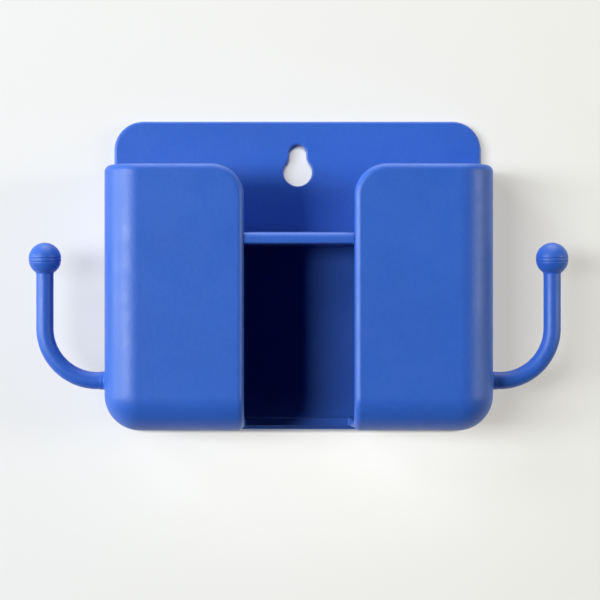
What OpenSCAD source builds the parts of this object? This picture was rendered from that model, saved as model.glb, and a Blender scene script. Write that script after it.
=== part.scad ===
// Wall-mounted pocket holder with two side hooks.
// X runs to the right, Y runs towards the wall, Z runs up.
// The wall plane is Y = 0 and the origin is the centre of the plate's back face.

/* [Front shell] */
// Outside width of the shell, side to side
shell_w = 100.6; // [92:0.2:120]
// Outside depth from the wall to the front face
shell_depth = 30; // [26:1:40]
// Height of the shell's underside below the origin
shell_below = 41; // [38:0.1:50]
// Height of the wings' top edge above the origin
wing_top = 27.7; // [24:0.1:30]
// Wall thickness of the shell
wall = 2.4; // [2:0.1:3]
// Thickness of the floor
floor_t = 2.5; // [2:0.1:3.5]
// Outside radius of the upright front edges and of the bottom front edge
front_r = 9; // [5:0.5:9]
// Outside radius of the two bottom corners, seen from the front
corner_r = 9.3; // [8:0.1:11]
// Radius of the wings' outer top corners
wing_outer_r = 1.5; // [0.5:0.1:2.5]

/* [Slot] */
// Width of the central slot between the wings
slot_w = 28.2; // [22:0.2:34]
// Radius of the wings' inner top corners
wing_inner_r = 8.4; // [5:0.2:10]
// Depth of the floor ledge left in front of the back plate, below the slot
floor_ledge = 2; // [1:0.1:10]

/* [Back plate] */
// Height of the plate's top edge above the origin
plate_top = 40.8; // [40:0.1:50]
// How far the plate's lower edge stands below the shell's underside
plate_lip = 1; // [0:0.1:2]
// Thickness of the plate
plate_t = 2.5; // [2:0.1:3.5]
// Radius of the plate's top corners
plate_r = 7.8; // [4:0.2:12]
// How far the plate's side edges sit inside the shell's outline
plate_inset = 1; // [0.6:0.1:1.4]

/* [Keyhole] */
// Diameter of the round hole that passes the screw head
key_d = 7.8; // [7:0.1:9]
// Height of the round hole's centre above the origin
key_z = 27.3; // [22:0.1:29]
// Width of the neck that holds the screw shank
key_neck = 4.7; // [4.2:0.1:5.2]
// Rise from the round hole's centre to the neck's seat
key_rise = 5; // [4.6:0.1:6]

/* [Shelf] */
// Height of the shelf's upper face above the origin
shelf_top = 10.2; // [4:0.1:14]
// Thickness of the shelf
shelf_t = 3; // [2.4:0.1:4]
// How far the shelf's front edge sits behind the wings' front face
shelf_setback = 1.2; // [0.8:0.1:2]

/* [Hooks] */
// Diameter of the hook's rod
rod_d = 4.5; // [4:0.1:5]
// Distance of the hook's axis from the wall
hook_y = 18; // [14:0.5:20]
// Height of the hook's root below the origin
root_below = 28.2; // [26:0.1:30]
// Sideways distance from the side wall to the axis of the hook's upright stem
hook_reach = 15.8; // [15.2:0.1:20]
// Centre-line radius of the hook's bend
bend_r = 13.7; // [10:0.1:13.7]
// Diameter of the ball tip
ball_d = 8.5; // [7.5:0.1:10]
// Height of the ball's centre above the origin
ball_z = 3.5; // [0:0.1:8]
// Outside diameter of the collar pressed into the side wall
collar_d = 5.7; // [5.5:0.1:6.5]
// How far the collar stands out of the side wall
collar_out = 1.4; // [0.8:0.1:1.4]

/* [Hidden] */

$fn = 64;
colour = [0.235, 0.42, 0.80];
hw = shell_w / 2;
plate_hw = hw - plate_inset;
stem_x = hw + hook_reach;
iw = hw - wall;
face = shell_depth;
floor_notch = shell_depth - plate_t - floor_ledge;
inner_face = face - wall;
z_bottom = -shell_below;
z_floor = z_bottom + floor_t;
past = 4;
seat_z = ball_z;

// A rectangle from (x0, y0) to (x1, y1) with a radius for each corner:
// r00 at (x0, y0), r10 at (x1, y0), r11 at (x1, y1), r01 at (x0, y1).
module round_rect(x0, y0, x1, y1, r00, r10, r11, r01) {
    difference() {
        translate([x0, y0]) square([x1 - x0, y1 - y0]);
        corner(x0, y0, 1, 1, r00);
        corner(x1, y0, -1, 1, r10);
        corner(x1, y1, -1, -1, r11);
        corner(x0, y1, 1, -1, r01);
    }
}

// The waste outside a rounded corner at (x, y); sx and sy point inwards.
module corner(x, y, sx, sy, r) {
    if (r > 0)
        difference() {
            translate([x + (sx > 0 ? -1 : -r), y + (sy > 0 ? -1 : -r)])
                square([r + 1, r + 1]);
            translate([x + sx * r, y + sy * r]) circle(r = r);
        }
}

// Extrudes a drawing made in X and Z along Y, from y0 towards the front to y1.
module along_y(y0, y1) {
    translate([0, y0, 0]) rotate([90, 0, 0]) linear_extrude(y0 - y1) children();
}

// Extrudes a drawing made in depth and Z along X, depth being measured from the wall.
module along_x(x0, x1) {
    translate([x0, 0, 0]) rotate([0, 0, -90]) rotate([90, 0, 0])
        translate([0, 0, x0 - x1]) linear_extrude(x1 - x0) children();
}

// The rounded box shared by the shell's outside and its cavity: half width w,
// front at depth f, bottom at z0, top at z1, plan radius rp, corner radius rc,
// bottom front radius rb, top corner radius rt.
module soft_box(w, f, z0, z1, rp, rc, rb, rt, back) {
    intersection() {
        translate([0, 0, z0 - 1]) linear_extrude(z1 - z0 + 2)
            round_rect(-w, -f, w, -back, rp, rp, 0, 0);
        along_y(-back + 1, -f - 1)
            round_rect(-w, z0, w, z1, rc, rc, rt, rt);
        along_x(-w - 1, w + 1)
            round_rect(back - 1, z0, f, z1, 0, rb, 0, 0);
    }
}

module keyhole() {
    translate([0, 1, key_z]) rotate([90, 0, 0]) cylinder(d = key_d, h = plate_t + 2);
    translate([0, 1, key_z + key_rise]) rotate([90, 0, 0]) cylinder(d = key_neck, h = plate_t + 2);
    translate([-key_neck / 2, -plate_t - 1, key_z]) cube([key_neck, plate_t + 2, key_rise]);
}

module back_plate() {
    color(colour) difference() {
        along_y(0, -plate_t)
            round_rect(-plate_hw, z_bottom - plate_lip, plate_hw, plate_top,
                       corner_r - plate_inset, corner_r - plate_inset, plate_r, plate_r);
        keyhole();
    }
}

module front_shell() {
    color(colour) difference() {
        soft_box(hw, face, z_bottom, wing_top,
                 front_r, corner_r, front_r, wing_outer_r, plate_t);
        soft_box(iw, inner_face, z_floor, wing_top + past,
                 front_r - wall, corner_r - wall, front_r - wall, 0, plate_t - 1);
        slot();
        for (s = [-1, 1])
            translate([s * (hw - wall / 2), -hook_y, -root_below]) rotate([0, 90, 0])
                cylinder(d = collar_d, h = wall + 2, center = true);
    }
}

// The open slot: straight between the wings, flared round their top corners,
// and run back into the floor as a notch.
module slot() {
    s = slot_w / 2;
    along_y(-inner_face + 1.5, -face - 1) {
        translate([-s, z_bottom - 1]) square([slot_w, wing_top - z_bottom + 1 + past]);
        for (m = [0, 1]) mirror([m, 0]) difference() {
            translate([s - 1, wing_top - wing_inner_r])
                square([wing_inner_r + 1, wing_inner_r + past]);
            translate([s + wing_inner_r, wing_top - wing_inner_r]) circle(r = wing_inner_r);
            translate([s + wing_inner_r, wing_top - wing_inner_r - 1])
                square([past, wing_inner_r + past + 2]);
        }
    }
    translate([-s, -face - 1, z_bottom - 1]) cube([slot_w, floor_notch + 1, front_r + 1.5]);
}

module shelf() {
    color(colour) translate([0, 0, shelf_top - shelf_t]) linear_extrude(shelf_t) {
        round_rect(-iw, -inner_face, iw, -plate_t,
                   front_r - wall + 0.3, front_r - wall + 0.3, 0, 0);
        translate([-slot_w / 2, -face + shelf_setback])
            square([slot_w, wall - shelf_setback + 1]);
    }
}

// One hook on the right: level root, quarter bend, upright stem. The stem's end
// is the spigot inside the ball.
module hook() {
    translate([0, -hook_y, 0]) {
        translate([iw, 0, -root_below]) rotate([0, 90, 0])
            cylinder(d = rod_d, h = stem_x - bend_r - iw);
        translate([stem_x - bend_r, 0, bend_r - root_below]) rotate([90, 0, 0])
            rotate([0, 0, -90]) rotate_extrude(angle = 90)
                translate([bend_r, 0]) circle(d = rod_d);
        translate([stem_x, 0, bend_r - root_below])
            cylinder(d = rod_d, h = seat_z - bend_r + root_below);
    }
}

module ball_tip() {
    translate([stem_x, -hook_y, ball_z]) difference() {
        sphere(d = ball_d);
        translate([0, 0, -ball_d]) cylinder(d = rod_d, h = ball_d);
    }
}

// Sleeve pressed into the side wall, with a short tapered lip outside it.
module hook_collar() {
    translate([iw, -hook_y, -root_below]) rotate([0, 90, 0])
        rotate_extrude()
            polygon([[rod_d / 2, 0], [collar_d / 2, 0], [collar_d / 2, wall + 0.3],
                     [collar_d / 2 - 0.3, wall + collar_out], [rod_d / 2, wall + collar_out]]);
}

module hook_right() { color(colour) hook(); }
module hook_left() { color(colour) mirror([1, 0, 0]) hook(); }
module ball_tip_right() { color(colour) ball_tip(); }
module ball_tip_left() { color(colour) mirror([1, 0, 0]) ball_tip(); }
module hook_collar_right() { color(colour) hook_collar(); }
module hook_collar_left() { color(colour) mirror([1, 0, 0]) hook_collar(); }

back_plate();
front_shell();
shelf();
hook_left();
hook_right();
ball_tip_left();
ball_tip_right();
hook_collar_left();
hook_collar_right();
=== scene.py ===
import math

import bpy
import numpy as np
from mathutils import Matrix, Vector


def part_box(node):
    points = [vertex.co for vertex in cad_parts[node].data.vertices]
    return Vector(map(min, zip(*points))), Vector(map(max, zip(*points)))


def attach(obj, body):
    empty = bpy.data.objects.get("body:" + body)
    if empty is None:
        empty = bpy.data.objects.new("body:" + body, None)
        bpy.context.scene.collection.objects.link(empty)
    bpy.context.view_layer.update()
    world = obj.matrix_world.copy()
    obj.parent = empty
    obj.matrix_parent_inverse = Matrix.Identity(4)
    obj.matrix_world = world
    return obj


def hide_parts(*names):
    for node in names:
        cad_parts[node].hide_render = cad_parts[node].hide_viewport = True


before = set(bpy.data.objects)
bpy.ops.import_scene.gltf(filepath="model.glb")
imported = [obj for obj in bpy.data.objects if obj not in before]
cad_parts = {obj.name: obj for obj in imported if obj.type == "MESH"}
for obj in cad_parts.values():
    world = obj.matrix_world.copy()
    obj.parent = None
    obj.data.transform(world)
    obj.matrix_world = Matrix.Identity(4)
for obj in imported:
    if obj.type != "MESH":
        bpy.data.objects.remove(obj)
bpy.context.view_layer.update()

MM = 0.001

# ---------------------------------------------------------------- sizes, mm
# Read from the frame's own boxes, so that the looks follow the CAD.


def box_mm(name):
    lo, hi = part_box(name)
    return [v * 1000 for v in lo], [v * 1000 for v in hi]


SH_LO, SH_HI = box_mm("front_shell")
PL_LO, PL_HI = box_mm("back_plate")
SF_LO, SF_HI = box_mm("shelf")
HK_LO, HK_HI = box_mm("hook_right")
BL_LO, BL_HI = box_mm("ball_tip_right")
CO_LO, CO_HI = box_mm("hook_collar_right")

HALF_W = SH_HI[0]
FACE = -SH_LO[1]
BOTTOM = SH_LO[2]
WING_TOP = SH_HI[2]
WALL = 2.4
FRONT_R = 9.2
CORNER_R = 9.3
SLOT = 14.1
WING_R = 8.4
NOTCH_Y = -4.5
EDGE_R, INNER_R = 1.75, 0.45
PLATE_T = -PL_LO[1]
PLATE_HW = PL_HI[0]
PLATE_TOP = PL_HI[2]
PLATE_BOTTOM = PL_LO[2]
KEY_Z, KEY_R, NECK_R, RISE = 27.3, 3.9, 2.35, 5.0
ROD_R = 2.25
HOOK_Y = (HK_LO[1] + HK_HI[1]) / 2
ROOT_Z = HK_LO[2] + ROD_R
STEM_X = HK_HI[0] - ROD_R
BEND_R = 13.7
BALL_R = (BL_HI[0] - BL_LO[0]) / 2
BALL_Z = BL_HI[2] - BALL_R
COLLAR_END = CO_HI[0]

# ------------------------------------------------- distance-field modelling
# Each moulded shell is written as a distance field, so that every edge has a
# true radius, then turned into quads on a grid that is fine only where the
# surface curves. All fields take and return millimetres.


def both(a, b, r):
    """Intersection of two solids with its convex edge rounded to r."""
    u, v = np.maximum(a + r, 0), np.maximum(b + r, 0)
    return np.minimum(-r, np.maximum(a, b)) + np.hypot(u, v)


def either(a, b, r):
    """Union of two solids with its concave corner filled to r."""
    u, v = np.maximum(r - a, 0), np.maximum(r - b, 0)
    return np.maximum(r, np.minimum(a, b)) - np.hypot(u, v)


def corner2(qx, qy, r):
    """Distance to a quarter plane whose corner has radius r."""
    qx, qy = qx + r, qy + r
    return np.hypot(np.maximum(qx, 0), np.maximum(qy, 0)) + np.minimum(np.maximum(qx, qy), 0) - r


def shell_field(x, y, z):
    ax = np.abs(x)
    outline = corner2(ax - HALF_W, BOTTOM - z, CORNER_R)
    outer = both(outline, -FACE - y, FRONT_R)
    wing = corner2(SLOT - ax, z - WING_TOP, WING_R)
    kept = np.maximum(either(wing, NOTCH_Y - y, 0.7), z - WING_TOP)
    soft = np.clip((-y - 5.5) / 7, 0, 1)
    edge_r = 0.25 + (EDGE_R - 0.25) * soft * soft * (3 - 2 * soft)
    d = np.maximum(both(outer, kept, edge_r), both(-(outer + WALL), kept, np.minimum(INNER_R, edge_r)))
    d = both(d, y + PLATE_T + 0.02, 0.2)
    bore = 2.88 - np.hypot(y - HOOK_Y, z - ROOT_Z)
    return np.where(ax > HALF_W - 6, np.maximum(d, bore), d)


def plate_field(x, y, z):
    ax = np.abs(x)
    up = corner2(ax - PLATE_HW, z - PLATE_TOP, 7.8)
    down = corner2(ax - PLATE_HW, PLATE_BOTTOM - z, 8.3)
    outline = np.maximum(up, down)
    slab = np.abs(y + PLATE_T / 2) - PLATE_T / 2
    d = both(outline, slab, 0.75)
    head = np.hypot(x, z - KEY_Z) - KEY_R
    zc = np.clip(z, KEY_Z, KEY_Z + RISE)
    neck = np.hypot(x, z - zc) - NECK_R
    return both(d, -either(head, neck, 0.9), 0.40)


def shelf_field(x, y, z):
    ax = np.abs(x)
    iw = HALF_W - WALL - 0.03
    inner = corner2(ax - iw, -(FACE - WALL) + 0.03 - y, FRONT_R - WALL + 0.05)
    inner = np.maximum(inner, y + PLATE_T + 0.03)
    tongue = np.maximum(ax - SLOT + 0.02, np.maximum(SF_LO[1] - y, y + 20))
    plan = np.minimum(inner, tongue)
    near = np.clip(0.5 - (SLOT - ax), 0, 0.5)
    flare = np.where(y < -(FACE - WALL) - 0.02, 0.5 - np.sqrt(np.maximum(0.25 - near * near, 0)), 0)
    mid, half = (SF_LO[2] + SF_HI[2]) / 2, (SF_HI[2] - SF_LO[2]) / 2
    top, under = z - mid - half - flare, mid - z - half - flare
    return np.maximum(both(plan, top, 1.7), both(plan, under, 0.5))


def grid(*stops):
    """Grid lines through (start, step), ..., end: each stretch is cut evenly at about its step."""
    out = []
    for (a, step), nxt in zip(stops[:-1], stops[1:]):
        b = nxt[0] if isinstance(nxt, tuple) else nxt
        n = max(1, round((b - a) / step))
        out += [a + (b - a) * i / n for i in range(n)]
    out.append(stops[-1])
    return np.array(out)


def mirrored(half):
    return np.concatenate([-half[::-1], half[1:]]) if half[0] == 0 else np.concatenate([-half[::-1], half])


def gradient(field, p, e=0.004):
    g = np.empty_like(p)
    for k in range(3):
        a, b = p.copy(), p.copy()
        a[:, k] += e
        b[:, k] -= e
        g[:, k] = (field(*a.T) - field(*b.T)) / (2 * e)
    return g


def nets(field, xs, ys, zs):
    """Quads of the field's zero surface: one vertex in each cell it crosses, moved onto the surface."""
    X, Y, Z = np.meshgrid(xs, ys, zs, indexing="ij")
    F = field(X, Y, Z)
    F[np.abs(F) < 1e-9] = 1e-9
    shape = tuple(n - 1 for n in F.shape)
    total, count = np.zeros(shape + (3,)), np.zeros(shape)
    P = np.stack([X, Y, Z], -1)
    for axis in range(3):
        for da in (0, 1):
            for db in (0, 1):
                o = [0, 0, 0]
                rest = [k for k in range(3) if k != axis]
                o[rest[0]], o[rest[1]] = da, db
                e = list(o)
                e[axis] = 1
                lo = tuple(slice(v, v + n) for v, n in zip(o, shape))
                hi = tuple(slice(v, v + n) for v, n in zip(e, shape))
                fa, fb = F[lo], F[hi]
                cut = (fa < 0) != (fb < 0)
                t = np.where(cut, fa / np.where(cut, fa - fb, 1), 0)[..., None]
                total += np.where(cut[..., None], P[lo] * (1 - t) + P[hi] * t, 0)
                count += cut
    live = count > 0
    index = np.full(shape, -1, dtype=np.int64)
    index[live] = np.arange(int(live.sum()))
    verts = total[live] / count[live][:, None]
    quads = []
    inside = F < 0
    for axis in range(3):
        b, c = [k for k in range(3) if k != axis]
        n = F.shape
        lo = [slice(1, n[k] - 1) for k in range(3)]
        hi = list(lo)
        lo[axis], hi[axis] = slice(0, n[axis] - 1), slice(1, n[axis])
        s0, s1 = inside[tuple(lo)], inside[tuple(hi)]
        at = np.argwhere(s0 != s1)
        if not len(at):
            continue
        out = s0[tuple(at.T)]
        at = at + [0 if k == axis else 1 for k in range(3)]
        ring = []
        for db, dc in ((1, 1), (0, 1), (0, 0), (1, 0)):
            q = at.copy()
            q[:, b] -= db
            q[:, c] -= dc
            ring.append(index[tuple(q.T)])
        ring = np.stack(ring, -1)
        flip = out if axis != 1 else ~out
        ring[~flip] = ring[~flip][:, ::-1]
        quads.append(ring)
    quads = np.concatenate(quads)
    for _ in range(6):
        d = field(*verts.T)
        g = gradient(field, verts)
        g2 = np.maximum((g * g).sum(1), 0.25)
        verts = verts - np.clip(d / g2, -0.4, 0.4)[:, None] * g
    normals = gradient(field, verts, 0.02)
    normals /= np.maximum(np.linalg.norm(normals, axis=1), 1e-9)[:, None]
    return verts, quads, normals


def add_mesh(name, verts, faces, normals=None):
    """Adds a smooth mesh given in millimetres."""
    me = bpy.data.meshes.new(name)
    me.from_pydata((np.asarray(verts) * MM).tolist(), [], [list(map(int, f)) for f in faces])
    me.validate()
    me.polygons.foreach_set("use_smooth", [True] * len(me.polygons))
    me.update()
    if normals is not None and len(me.vertices) == len(normals):
        me.normals_split_custom_set_from_vertices(np.asarray(normals).tolist())
    ob = bpy.data.objects.new(name, me)
    bpy.context.scene.collection.objects.link(ob)
    return ob


# -------------------------------------------------------- turned and swept


def arc(cx, cy, r, a0, a1, n):
    """Points on a circle from a0 to a1 degrees."""
    return [
        (cx + r * math.cos(math.radians(a0 + (a1 - a0) * i / n)), cy + r * math.sin(math.radians(a0 + (a1 - a0) * i / n)))
        for i in range(n + 1)
    ]


def turned(name, profile, place, sides=96):
    """Turns a closed (radius, height) profile. place maps (a, b, h) to a point, a and b across the axis."""
    n = len(profile)
    verts, faces = [], []
    for i in range(sides):
        t = 2 * math.pi * i / sides
        for r, h in profile:
            verts.append(place(r * math.cos(t), r * math.sin(t), h))
    for i in range(sides):
        j = (i + 1) % sides
        for k in range(n):
            m = (k + 1) % n
            faces.append((i * n + k, j * n + k, j * n + m, i * n + m))
    return verts, faces


def merged(name, verts, faces, limit=1e-6):
    """Adds a turned mesh, joining the points that meet on its axis and facing its faces outwards."""
    import bmesh

    me = bpy.data.meshes.new(name)
    me.from_pydata((np.asarray(verts) * MM).tolist(), [], faces)
    bm = bmesh.new()
    bm.from_mesh(me)
    bmesh.ops.remove_doubles(bm, verts=bm.verts, dist=limit)
    bmesh.ops.dissolve_degenerate(bm, edges=bm.edges, dist=1e-8)
    bmesh.ops.recalc_face_normals(bm, faces=bm.faces)
    bm.to_mesh(me)
    bm.free()
    me.validate()
    me.polygons.foreach_set("use_smooth", [True] * len(me.polygons))
    me.update()
    ob = bpy.data.objects.new(name, me)
    bpy.context.scene.collection.objects.link(ob)
    return ob


def sharpen(ob, degrees=32):
    """Marks the edges sharper than this as sharp, so that smooth shading stops there."""
    import bmesh

    bm = bmesh.new()
    bm.from_mesh(ob.data)
    for e in bm.edges:
        if len(e.link_faces) == 2 and e.calc_face_angle(0) > math.radians(degrees):
            e.smooth = False
    bm.to_mesh(ob.data)
    bm.free()


def rod_mesh(side):
    """The J-shaped rod: level root, quarter bend, upright stem that ends inside the ball."""
    path = []
    x0, xb = HALF_W - WALL, STEM_X - BEND_R
    for i in range(8):
        path.append(((x0 + (xb - x0) * i / 8, ROOT_Z), (1, 0)))
    for i in range(41):
        a = math.radians(-90 + 90 * i / 40)
        path.append(
            ((xb + BEND_R * math.cos(a), ROOT_Z + BEND_R + BEND_R * math.sin(a)), (-math.sin(a), math.cos(a)))
        )
    z0, z1 = ROOT_Z + BEND_R, BALL_Z
    for i in range(1, 13):
        path.append(((STEM_X, z0 + (z1 - z0) * i / 12), (0, 1)))
    ring = 56
    verts, normals, faces = [], [], []
    for (px, pz), (tx, tz) in path:
        nx, nz = -tz, tx
        for j in range(ring):
            t = 2 * math.pi * j / ring
            c, s = math.cos(t), math.sin(t)
            verts.append((px + ROD_R * c * nx, HOOK_Y + ROD_R * s, pz + ROD_R * c * nz))
            normals.append((c * nx, s, c * nz))
    rows = len(path)
    for i in range(rows - 1):
        for j in range(ring):
            k = (j + 1) % ring
            faces.append((i * ring + j, i * ring + k, (i + 1) * ring + k, (i + 1) * ring + j))
    a, b = len(verts), len(verts) + 1
    (px, pz), _ = path[0]
    verts.append((px, HOOK_Y, pz))
    (px, pz), _ = path[-1]
    verts.append((px, HOOK_Y, pz))
    for j in range(ring):
        k = (j + 1) % ring
        faces.append((a, k, j))
        faces.append((b, (rows - 1) * ring + j, (rows - 1) * ring + k))
    verts = np.array(verts)
    verts[:, 0] *= side
    if side < 0:
        faces = [f[::-1] for f in faces]
    return verts, faces


def ball_profile():
    """Ball with two fine grooves that edge its middle band, a small fillet onto the rod, and its blind hole."""
    rf = 0.9
    zf = -math.sqrt((BALL_R + rf) ** 2 - (ROD_R + rf) ** 2)
    tip = (-zf) and math.degrees(math.atan2(zf, ROD_R + rf))
    pts = []
    n = 150
    for i in range(n + 1):
        a = 90 + (tip - 90) * i / n
        h = BALL_R * math.sin(math.radians(a))
        r = BALL_R
        for g in (0.15, -0.85):
            r -= 0.11 * math.exp(-(((h - g) / 0.13) ** 2))
        band = 0.02 / (1 + math.exp((abs(h + 0.35) - 0.5) / 0.04))
        r -= band
        pts.append((max(r * math.cos(math.radians(a)), 0.0), r * math.sin(math.radians(a))))
    # concave fillet from the ball onto the rod
    a0 = tip + 180
    pts += arc(ROD_R + rf, zf, rf, a0, 180, 10)[1:]
    pts += [(ROD_R + 0.012, zf - 0.06), (ROD_R + 0.012, 0.02), (0.0, 0.02)]
    return pts


def collar_profile():
    """Sleeve in the side wall whose lip hugs the rod and flares out onto the wall. Height 0 is the wall's inner face."""
    w, end = WALL, COLLAR_END - (HALF_W - WALL)
    r_in, r_out, lip = ROD_R + 0.012, 2.85, ROD_R + 0.10
    pts = [(r_in, 0.0), (r_out - 0.15, 0.0), (r_out, 0.15), (r_out, w - 0.04), (r_out, w + 0.01)]
    # concave flare: widest on the wall, then in to the lip
    rf = 0.5
    pts += [(lip + rf - rf * math.sin(t), w + 0.02 + rf * (1 - math.cos(t)))
            for t in [math.pi / 2 * i / 14 for i in range(15)]]
    pts += arc(lip - 0.07, end - 0.07, 0.07, 0, 90, 6)
    pts += [(r_in + 0.005, end), (r_in, end - 0.02)]
    return pts


# ---------------------------------------------------------------- materials


def plastic(name, tone, grain=1.0, seed=0.0):
    """Matte moulded plastic: eroded-mould grain, faint mottling, and convex edges painted paler, partly as
    burnish and partly as a painted highlight.
    """
    m = bpy.data.materials.new(name)
    m.use_nodes = True
    nt = m.node_tree
    for n in list(nt.nodes):
        nt.nodes.remove(n)
    N = nt.nodes.new
    L = nt.links.new
    out = N("ShaderNodeOutputMaterial")
    bsdf = N("ShaderNodeBsdfPrincipled")
    bsdf.inputs["IOR"].default_value = 1.49
    bsdf.inputs["Specular IOR Level"].default_value = 0.5
    L(bsdf.outputs[0], out.inputs[0])
    co = N("ShaderNodeTexCoord")
    mp = N("ShaderNodeMapping")
    mp.inputs["Location"].default_value = (seed, seed * 0.7, -seed * 0.4)
    L(co.outputs["Object"], mp.inputs[0])

    def noise(scale, detail, rough=0.5):
        t = N("ShaderNodeTexNoise")
        t.inputs["Scale"].default_value = scale
        t.inputs["Detail"].default_value = detail
        t.inputs["Roughness"].default_value = rough
        L(mp.outputs[0], t.inputs["Vector"])
        return t

    # colour: slow flow mottling, then a finer mottling, then a speckle
    flow = noise(38.0, 3.0)
    speck = noise(2600.0, 2.0)
    ramp = N("ShaderNodeValToRGB")
    ramp.color_ramp.elements[0].position = 0.30
    ramp.color_ramp.elements[0].color = (*[c * 0.955 for c in tone], 1)
    ramp.color_ramp.elements[1].position = 0.70
    ramp.color_ramp.elements[1].color = (*[min(1, c * 1.045) for c in tone], 1)
    L(flow.outputs[0], ramp.inputs[0])
    speck_ramp = N("ShaderNodeValToRGB")
    speck_ramp.color_ramp.elements[0].position = 0.35
    speck_ramp.color_ramp.elements[0].color = (0.96, 0.965, 0.985, 1)
    speck_ramp.color_ramp.elements[1].position = 0.62
    speck_ramp.color_ramp.elements[1].color = (1, 1, 1, 1)
    L(speck.outputs[0], speck_ramp.inputs[0])
    mul = N("ShaderNodeMix")
    mul.data_type = "RGBA"
    mul.blend_type = "MULTIPLY"
    mul.inputs[0].default_value = 1.0
    L(speck_ramp.outputs[0], mul.inputs[7])
    mottle = noise(1150.0, 2.0)
    mottle_ramp = N("ShaderNodeValToRGB")
    mottle_ramp.color_ramp.elements[0].position = 0.32
    mottle_ramp.color_ramp.elements[0].color = (0.92, 0.94, 0.965, 1)
    mottle_ramp.color_ramp.elements[1].position = 0.68
    mottle_ramp.color_ramp.elements[1].color = (1, 1, 1, 1)
    L(mottle.outputs[0], mottle_ramp.inputs[0])
    mid = N("ShaderNodeMix")
    mid.data_type = "RGBA"
    mid.blend_type = "MULTIPLY"
    mid.inputs[0].default_value = 1.0
    L(ramp.outputs[0], mid.inputs[6])
    L(mottle_ramp.outputs[0], mid.inputs[7])
    L(mid.outputs[2], mul.inputs[6])
    # paler where the surface turns sharply outwards: partly a burnished edge, partly a painted highlight where
    # the rounded edges catch the light; only the colour changes here
    geo = N("ShaderNodeNewGeometry")
    edge = N("ShaderNodeMapRange")
    edge.inputs["From Min"].default_value = 0.52
    edge.inputs["From Max"].default_value = 0.62
    edge.inputs["To Min"].default_value = 0.0
    edge.inputs["To Max"].default_value = 0.16
    L(geo.outputs["Pointiness"], edge.inputs["Value"])
    edge_burnish_and_highlight = N("ShaderNodeMix")
    edge_burnish_and_highlight.data_type = "RGBA"
    L(edge.outputs[0], edge_burnish_and_highlight.inputs[0])
    L(mul.outputs[2], edge_burnish_and_highlight.inputs[6])
    edge_burnish_and_highlight.inputs[7].default_value = (*[min(1, c * 1.25 + 0.05) for c in tone], 1)
    L(edge_burnish_and_highlight.outputs[2], bsdf.inputs["Base Color"])
    # roughness: satin-matte, uneven where the tool was polished less
    r_noise = noise(140.0, 4.0, 0.6)
    rr = N("ShaderNodeMapRange")
    rr.inputs["From Min"].default_value = 0.3
    rr.inputs["From Max"].default_value = 0.7
    rr.inputs["To Min"].default_value = ROUGH[0]
    rr.inputs["To Max"].default_value = ROUGH[1]
    L(r_noise.outputs[0], rr.inputs["Value"])
    L(rr.outputs[0], bsdf.inputs["Roughness"])
    # grain: spark-eroded texture, under a very slow waviness of the moulded wall
    fine = noise(5200.0, 3.0, 0.55)
    cells = N("ShaderNodeTexVoronoi")
    cells.inputs["Scale"].default_value = 3800.0
    L(mp.outputs[0], cells.inputs["Vector"])
    add = N("ShaderNodeMath")
    add.operation = "MULTIPLY_ADD"
    add.inputs[1].default_value = 0.45
    L(cells.outputs["Distance"], add.inputs[0])
    L(fine.outputs[0], add.inputs[2])
    b1 = N("ShaderNodeBump")
    b1.inputs["Strength"].default_value = 0.12 * grain
    b1.inputs["Distance"].default_value = 0.00006
    L(add.outputs[0], b1.inputs["Height"])
    wave = noise(55.0, 1.0)
    b2 = N("ShaderNodeBump")
    b2.inputs["Strength"].default_value = 0.10
    b2.inputs["Distance"].default_value = 0.0004
    L(wave.outputs[0], b2.inputs["Height"])
    L(b1.outputs[0], b2.inputs["Normal"])
    b3 = N("ShaderNodeBump")
    b3.inputs["Strength"].default_value = 0.5
    b3.inputs["Distance"].default_value = 0.00008
    L(mottle.outputs[0], b3.inputs["Height"])
    L(b2.outputs[0], b3.inputs["Normal"])
    L(b3.outputs[0], bsdf.inputs["Normal"])
    return m


TONE = (0.030, 0.122, 0.534)
ROUGH = (0.40, 0.50)

# ------------------------------------------------------------------ pieces

xs = mirrored(grid((0, 2.0), (13.2, 0.36), (24.0, 2.0), (39.6, 0.36), HALF_W + 0.7))
ys = grid((-30.6, 0.34), (-14.6, 1.4), (-6.9, 0.3), (-3.4, 0.22), -2.0)
zs = grid((BOTTOM - 0.7, 0.36), (-24.6, 2.0), (18.2, 0.36), WING_TOP + 0.6)
v, f, n = nets(shell_field, xs, ys, zs)
shell = add_mesh("shell_moulding", v, f, n)

xs = mirrored(grid((0, 0.26), (5.2, 2.4), (40.4, 0.4), PLATE_HW + 0.6))
ys = grid((-2.8, 0.17), 0.3)
zs = grid((PLATE_BOTTOM - 0.6, 0.3), (PLATE_BOTTOM + 1.2, 0.4), (-33.2, 2.4), (22.7, 0.26), (35.4, 0.36), PLATE_TOP + 0.7)
v, f, n = nets(plate_field, xs, ys, zs)
plate = add_mesh("plate_moulding", v, f, n)

xs = mirrored(grid((0, 1.6), (13.0, 0.14), (14.7, 2.0), (42.4, 0.4), 48.2))
ys = grid((SF_LO[1] - 0.5, 0.18), (-26.9, 0.4), (-22.4, 2.0), (-3.6, 0.25), -2.1)
zs = grid((SF_LO[2] - 0.8, 0.15), SF_HI[2] + 0.8)
v, f, n = nets(shelf_field, xs, ys, zs)
shelf = add_mesh("shelf_panel", v, f, n)

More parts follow.
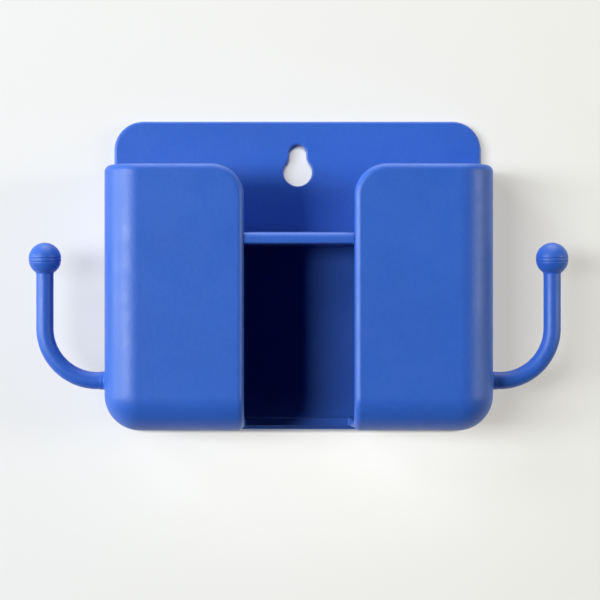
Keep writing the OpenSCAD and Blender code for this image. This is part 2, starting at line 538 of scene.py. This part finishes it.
made = {"front_shell": shell, "back_plate": plate, "shelf": shelf}
for side, word in ((-1, "left"), (1, "right")):
    v, f = rod_mesh(side)
    rod = merged(f"rod_{word}", v, f)
    sharpen(rod, 40)
    made[f"hook_{word}"] = rod
    v, f = turned("ball", ball_profile(), lambda a, b, h, s=side: (s * (STEM_X + a), HOOK_Y + b, BALL_Z + h), 112)
    ball = merged(f"ball_{word}", v, f)
    sharpen(ball, 50)
    made[f"ball_tip_{word}"] = ball
    v, f = turned(
        "collar", collar_profile(), lambda a, b, h, s=side: (s * (HALF_W - WALL + h), HOOK_Y + a, ROOT_Z + b), 80
    )
    collar = merged(f"collar_{word}", v, f)
    sharpen(collar, 50)
    made[f"hook_collar_{word}"] = collar

SLOTS = {
    "front_shell": "shell", "back_plate": "plate", "shelf": "shelf",
    "hook_left": "hook", "hook_right": "hook",
    "ball_tip_left": "ball_tip", "ball_tip_right": "ball_tip",
    "hook_collar_left": "collar", "hook_collar_right": "collar",
}
mats = {
    "shell": plastic("shell_plastic", TONE, 1.0, 0.0),
    "plate": plastic("plate_plastic", TONE, 1.0, 3.1),
    "shelf": plastic("shelf_plastic", TONE, 1.0, 6.7),
    "hook": plastic("hook_plastic", TONE, 0.7, 9.2),
    "ball_tip": plastic("ball_plastic", TONE, 0.7, 12.5),
    "collar": plastic("collar_plastic", TONE, 0.7, 15.8),
}
for node, ob in made.items():
    ob.data.materials.append(mats[SLOTS[node]])
    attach(ob, "root")
    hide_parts(node)
    cad = bpy.data.objects.get(node)
    if cad is not None and cad.type == "MESH":
        for i in range(len(cad.material_slots)):
            cad.material_slots[i].material = mats[SLOTS[node]]

# ------------------------------------------------------- wall, light, camera


def wall_material():
    """Pale painted wall. Its back is clear, so that the object can be seen from behind, and it doesn't shut
    light out of the hair-thin gap behind the plate."""
    m = bpy.data.materials.new("wall_paint")
    m.use_nodes = True
    nt = m.node_tree
    bsdf = nt.nodes["Principled BSDF"]
    bsdf.inputs["Roughness"].default_value = 0.9
    bsdf.inputs["Specular IOR Level"].default_value = 0.1
    out = nt.nodes["Material Output"]
    N, L = nt.nodes.new, nt.links.new
    co = N("ShaderNodeTexCoord")
    sep = N("ShaderNodeSeparateXYZ")
    L(co.outputs["Object"], sep.inputs[0])
    # from left to right the wall colour turns a little warmer: painted shade, the warm tint of the holder's
    # shadow on the right
    tone = N("ShaderNodeMapRange")
    tone.inputs["From Min"].default_value = -0.08
    tone.inputs["From Max"].default_value = 0.08
    L(sep.outputs[0], tone.inputs["Value"])
    mix = N("ShaderNodeMix")
    mix.data_type = "RGBA"
    mix.inputs[6].default_value = WALL_LEFT
    mix.inputs[7].default_value = WALL_RIGHT_SHADE_TINT
    L(tone.outputs[0], mix.inputs[0])
    L(mix.outputs[2], bsdf.inputs["Base Color"])
    clear = N("ShaderNodeBsdfTransparent")
    geo = N("ShaderNodeNewGeometry")
    path = N("ShaderNodeLightPath")
    short = N("ShaderNodeMath")
    short.operation = "LESS_THAN"
    short.inputs[1].default_value = 0.0012
    L(path.outputs["Ray Length"], short.inputs[0])
    anyone = N("ShaderNodeMath")
    anyone.operation = "MAXIMUM"
    L(geo.outputs["Backfacing"], anyone.inputs[0])
    L(short.outputs[0], anyone.inputs[1])
    mx = N("ShaderNodeMixShader")
    L(anyone.outputs[0], mx.inputs[0])
    L(bsdf.outputs[0], mx.inputs[1])
    L(clear.outputs[0], mx.inputs[2])
    L(mx.outputs[0], out.inputs[0])
    return m


WALL_LEFT = (0.55, 0.553, 0.557, 1)
# the right-hand colour's warmer tint is painted shade, for the warm shadow to the right of the holder
WALL_RIGHT_SHADE_TINT = (0.55, 0.547, 0.53, 1)

me = bpy.data.meshes.new("wall")
h = 1.6
me.from_pydata([(-h, 0.0002, -h), (h, 0.0002, -h), (h, 0.0002, h), (-h, 0.0002, h)], [], [(0, 1, 2, 3)])
wall = bpy.data.objects.new("wall", me)
bpy.context.scene.collection.objects.link(wall)
me.materials.append(wall_material())


def area(name, az, el, dist, size, watts, colour=(1, 1, 1), aim=(0, -0.015, -0.005)):
    """A soft box az degrees to the right of straight ahead and el above, aimed at the object."""
    from mathutils import Vector

    a, e = math.radians(az), math.radians(el)
    d = Vector((math.sin(a) * math.cos(e), -math.cos(a) * math.cos(e), math.sin(e)))
    data = bpy.data.lights.new(name, "AREA")
    data.shape = "RECTANGLE"
    data.size, data.size_y = size
    data.energy = watts
    data.color = colour
    ob = bpy.data.objects.new(name, data)
    ob.location = Vector(aim) + d * dist
    ob.rotation_mode = "QUATERNION"
    ob.rotation_quaternion = d.to_track_quat("Z", "Y")
    bpy.context.scene.collection.objects.link(ob)
    return ob


COOL = (0.87, 0.935, 1.0)
key = area("key", -45, 3, 1.6, (0.8, 0.3), 24.6, COOL)
key_wall = area("key_wall", -36, 4, 1.6, (1.2, 0.4), 23.2, COOL)
area("key_high", -45, 28, 1.6, (0.6, 0.4), 4.3, COOL)
right = area("right", 66, 4, 1.6, (0.8, 0.4), 9.8, (1.0, 1.0, 0.90))
right_wall = area("right_wall", 66, 4, 1.6, (0.8, 0.4), 7.2, (1.0, 1.0, 0.84))
area("behind", 170, 25, 1.6, (1.2, 1.0), 22, (1.0, 1.0, 1.0))
wash = area("wall_wash", -4, 21, 1.6, (0.4, 0.4), 22.2, (1.0, 0.95, 0.865))
glow = area("wall_glow", 0, 0, 0.03, (0.09, 0.01), 0.0052, (1.0, 0.98, 0.95), (0.005, 0.0002, -0.044))
glow.visible_camera = False
top = area("top_fill", 0, 70, 1.6, (1.2, 0.8), 7.0, (1.0, 0.96, 0.90))
back = area("top_back", 0, 96, 1.6, (1.2, 0.3), 12.0, (0.93, 0.98, 1.0))
rim = area("rim", -80, 5, 1.6, (0.5, 0.6), 11.0, (0.88, 1.0, 0.96))


def group(name, *things):
    c = bpy.data.collections.new(name)
    for ob in things:
        c.objects.link(ob)
    return c


only_wall, only_object, only_plate = group("only_wall", wall), group("only_object", *made.values()), group("only_plate", plate)
for light in (wash, glow, key_wall, right_wall):
    light.light_linking.receiver_collection = only_wall
glow.light_linking.blocker_collection = group("nothing")
wash.light_linking.blocker_collection = only_plate
back.light_linking.blocker_collection = only_object
for light in (key, right, top, back, rim):
    light.light_linking.receiver_collection = only_object

world = bpy.data.worlds.new("studio")
bpy.context.scene.world = world
world.use_nodes = True
wn = world.node_tree
bg = wn.nodes["Background"]
bg.inputs[0].default_value = (0.80, 0.82, 0.85, 1)
bg.inputs[1].default_value = 0.006
seen = wn.nodes.new("ShaderNodeBackground")
seen.inputs[0].default_value = (0.86, 0.86, 0.87, 1)
seen.inputs[1].default_value = 1.0
lp = wn.nodes.new("ShaderNodeLightPath")
mixw = wn.nodes.new("ShaderNodeMixShader")
wn.links.new(lp.outputs["Is Camera Ray"], mixw.inputs[0])
wn.links.new(bg.outputs[0], mixw.inputs[1])
wn.links.new(seen.outputs[0], mixw.inputs[2])
wn.links.new(mixw.outputs[0], wn.nodes["World Output"].inputs[0])

sc = bpy.context.scene
sc.view_settings.view_transform = "Standard"
sc.view_settings.look = "None"

cam_data = bpy.data.cameras.new("camera")
cam = bpy.data.objects.new("camera", cam_data)
sc.collection.objects.link(cam)
cam_data.sensor_width = 36.0
cam_data.lens = 36.0 * 1887.6 / 600
cam_data.shift_x = 31 / 600
cam_data.shift_y = 0.0
cam_data.clip_start, cam_data.clip_end = 0.01, 20
cam.location = (-0.0077, -0.510, -0.0072)
cam.rotation_euler = (math.pi / 2, 0, 0)
sc.camera = cam
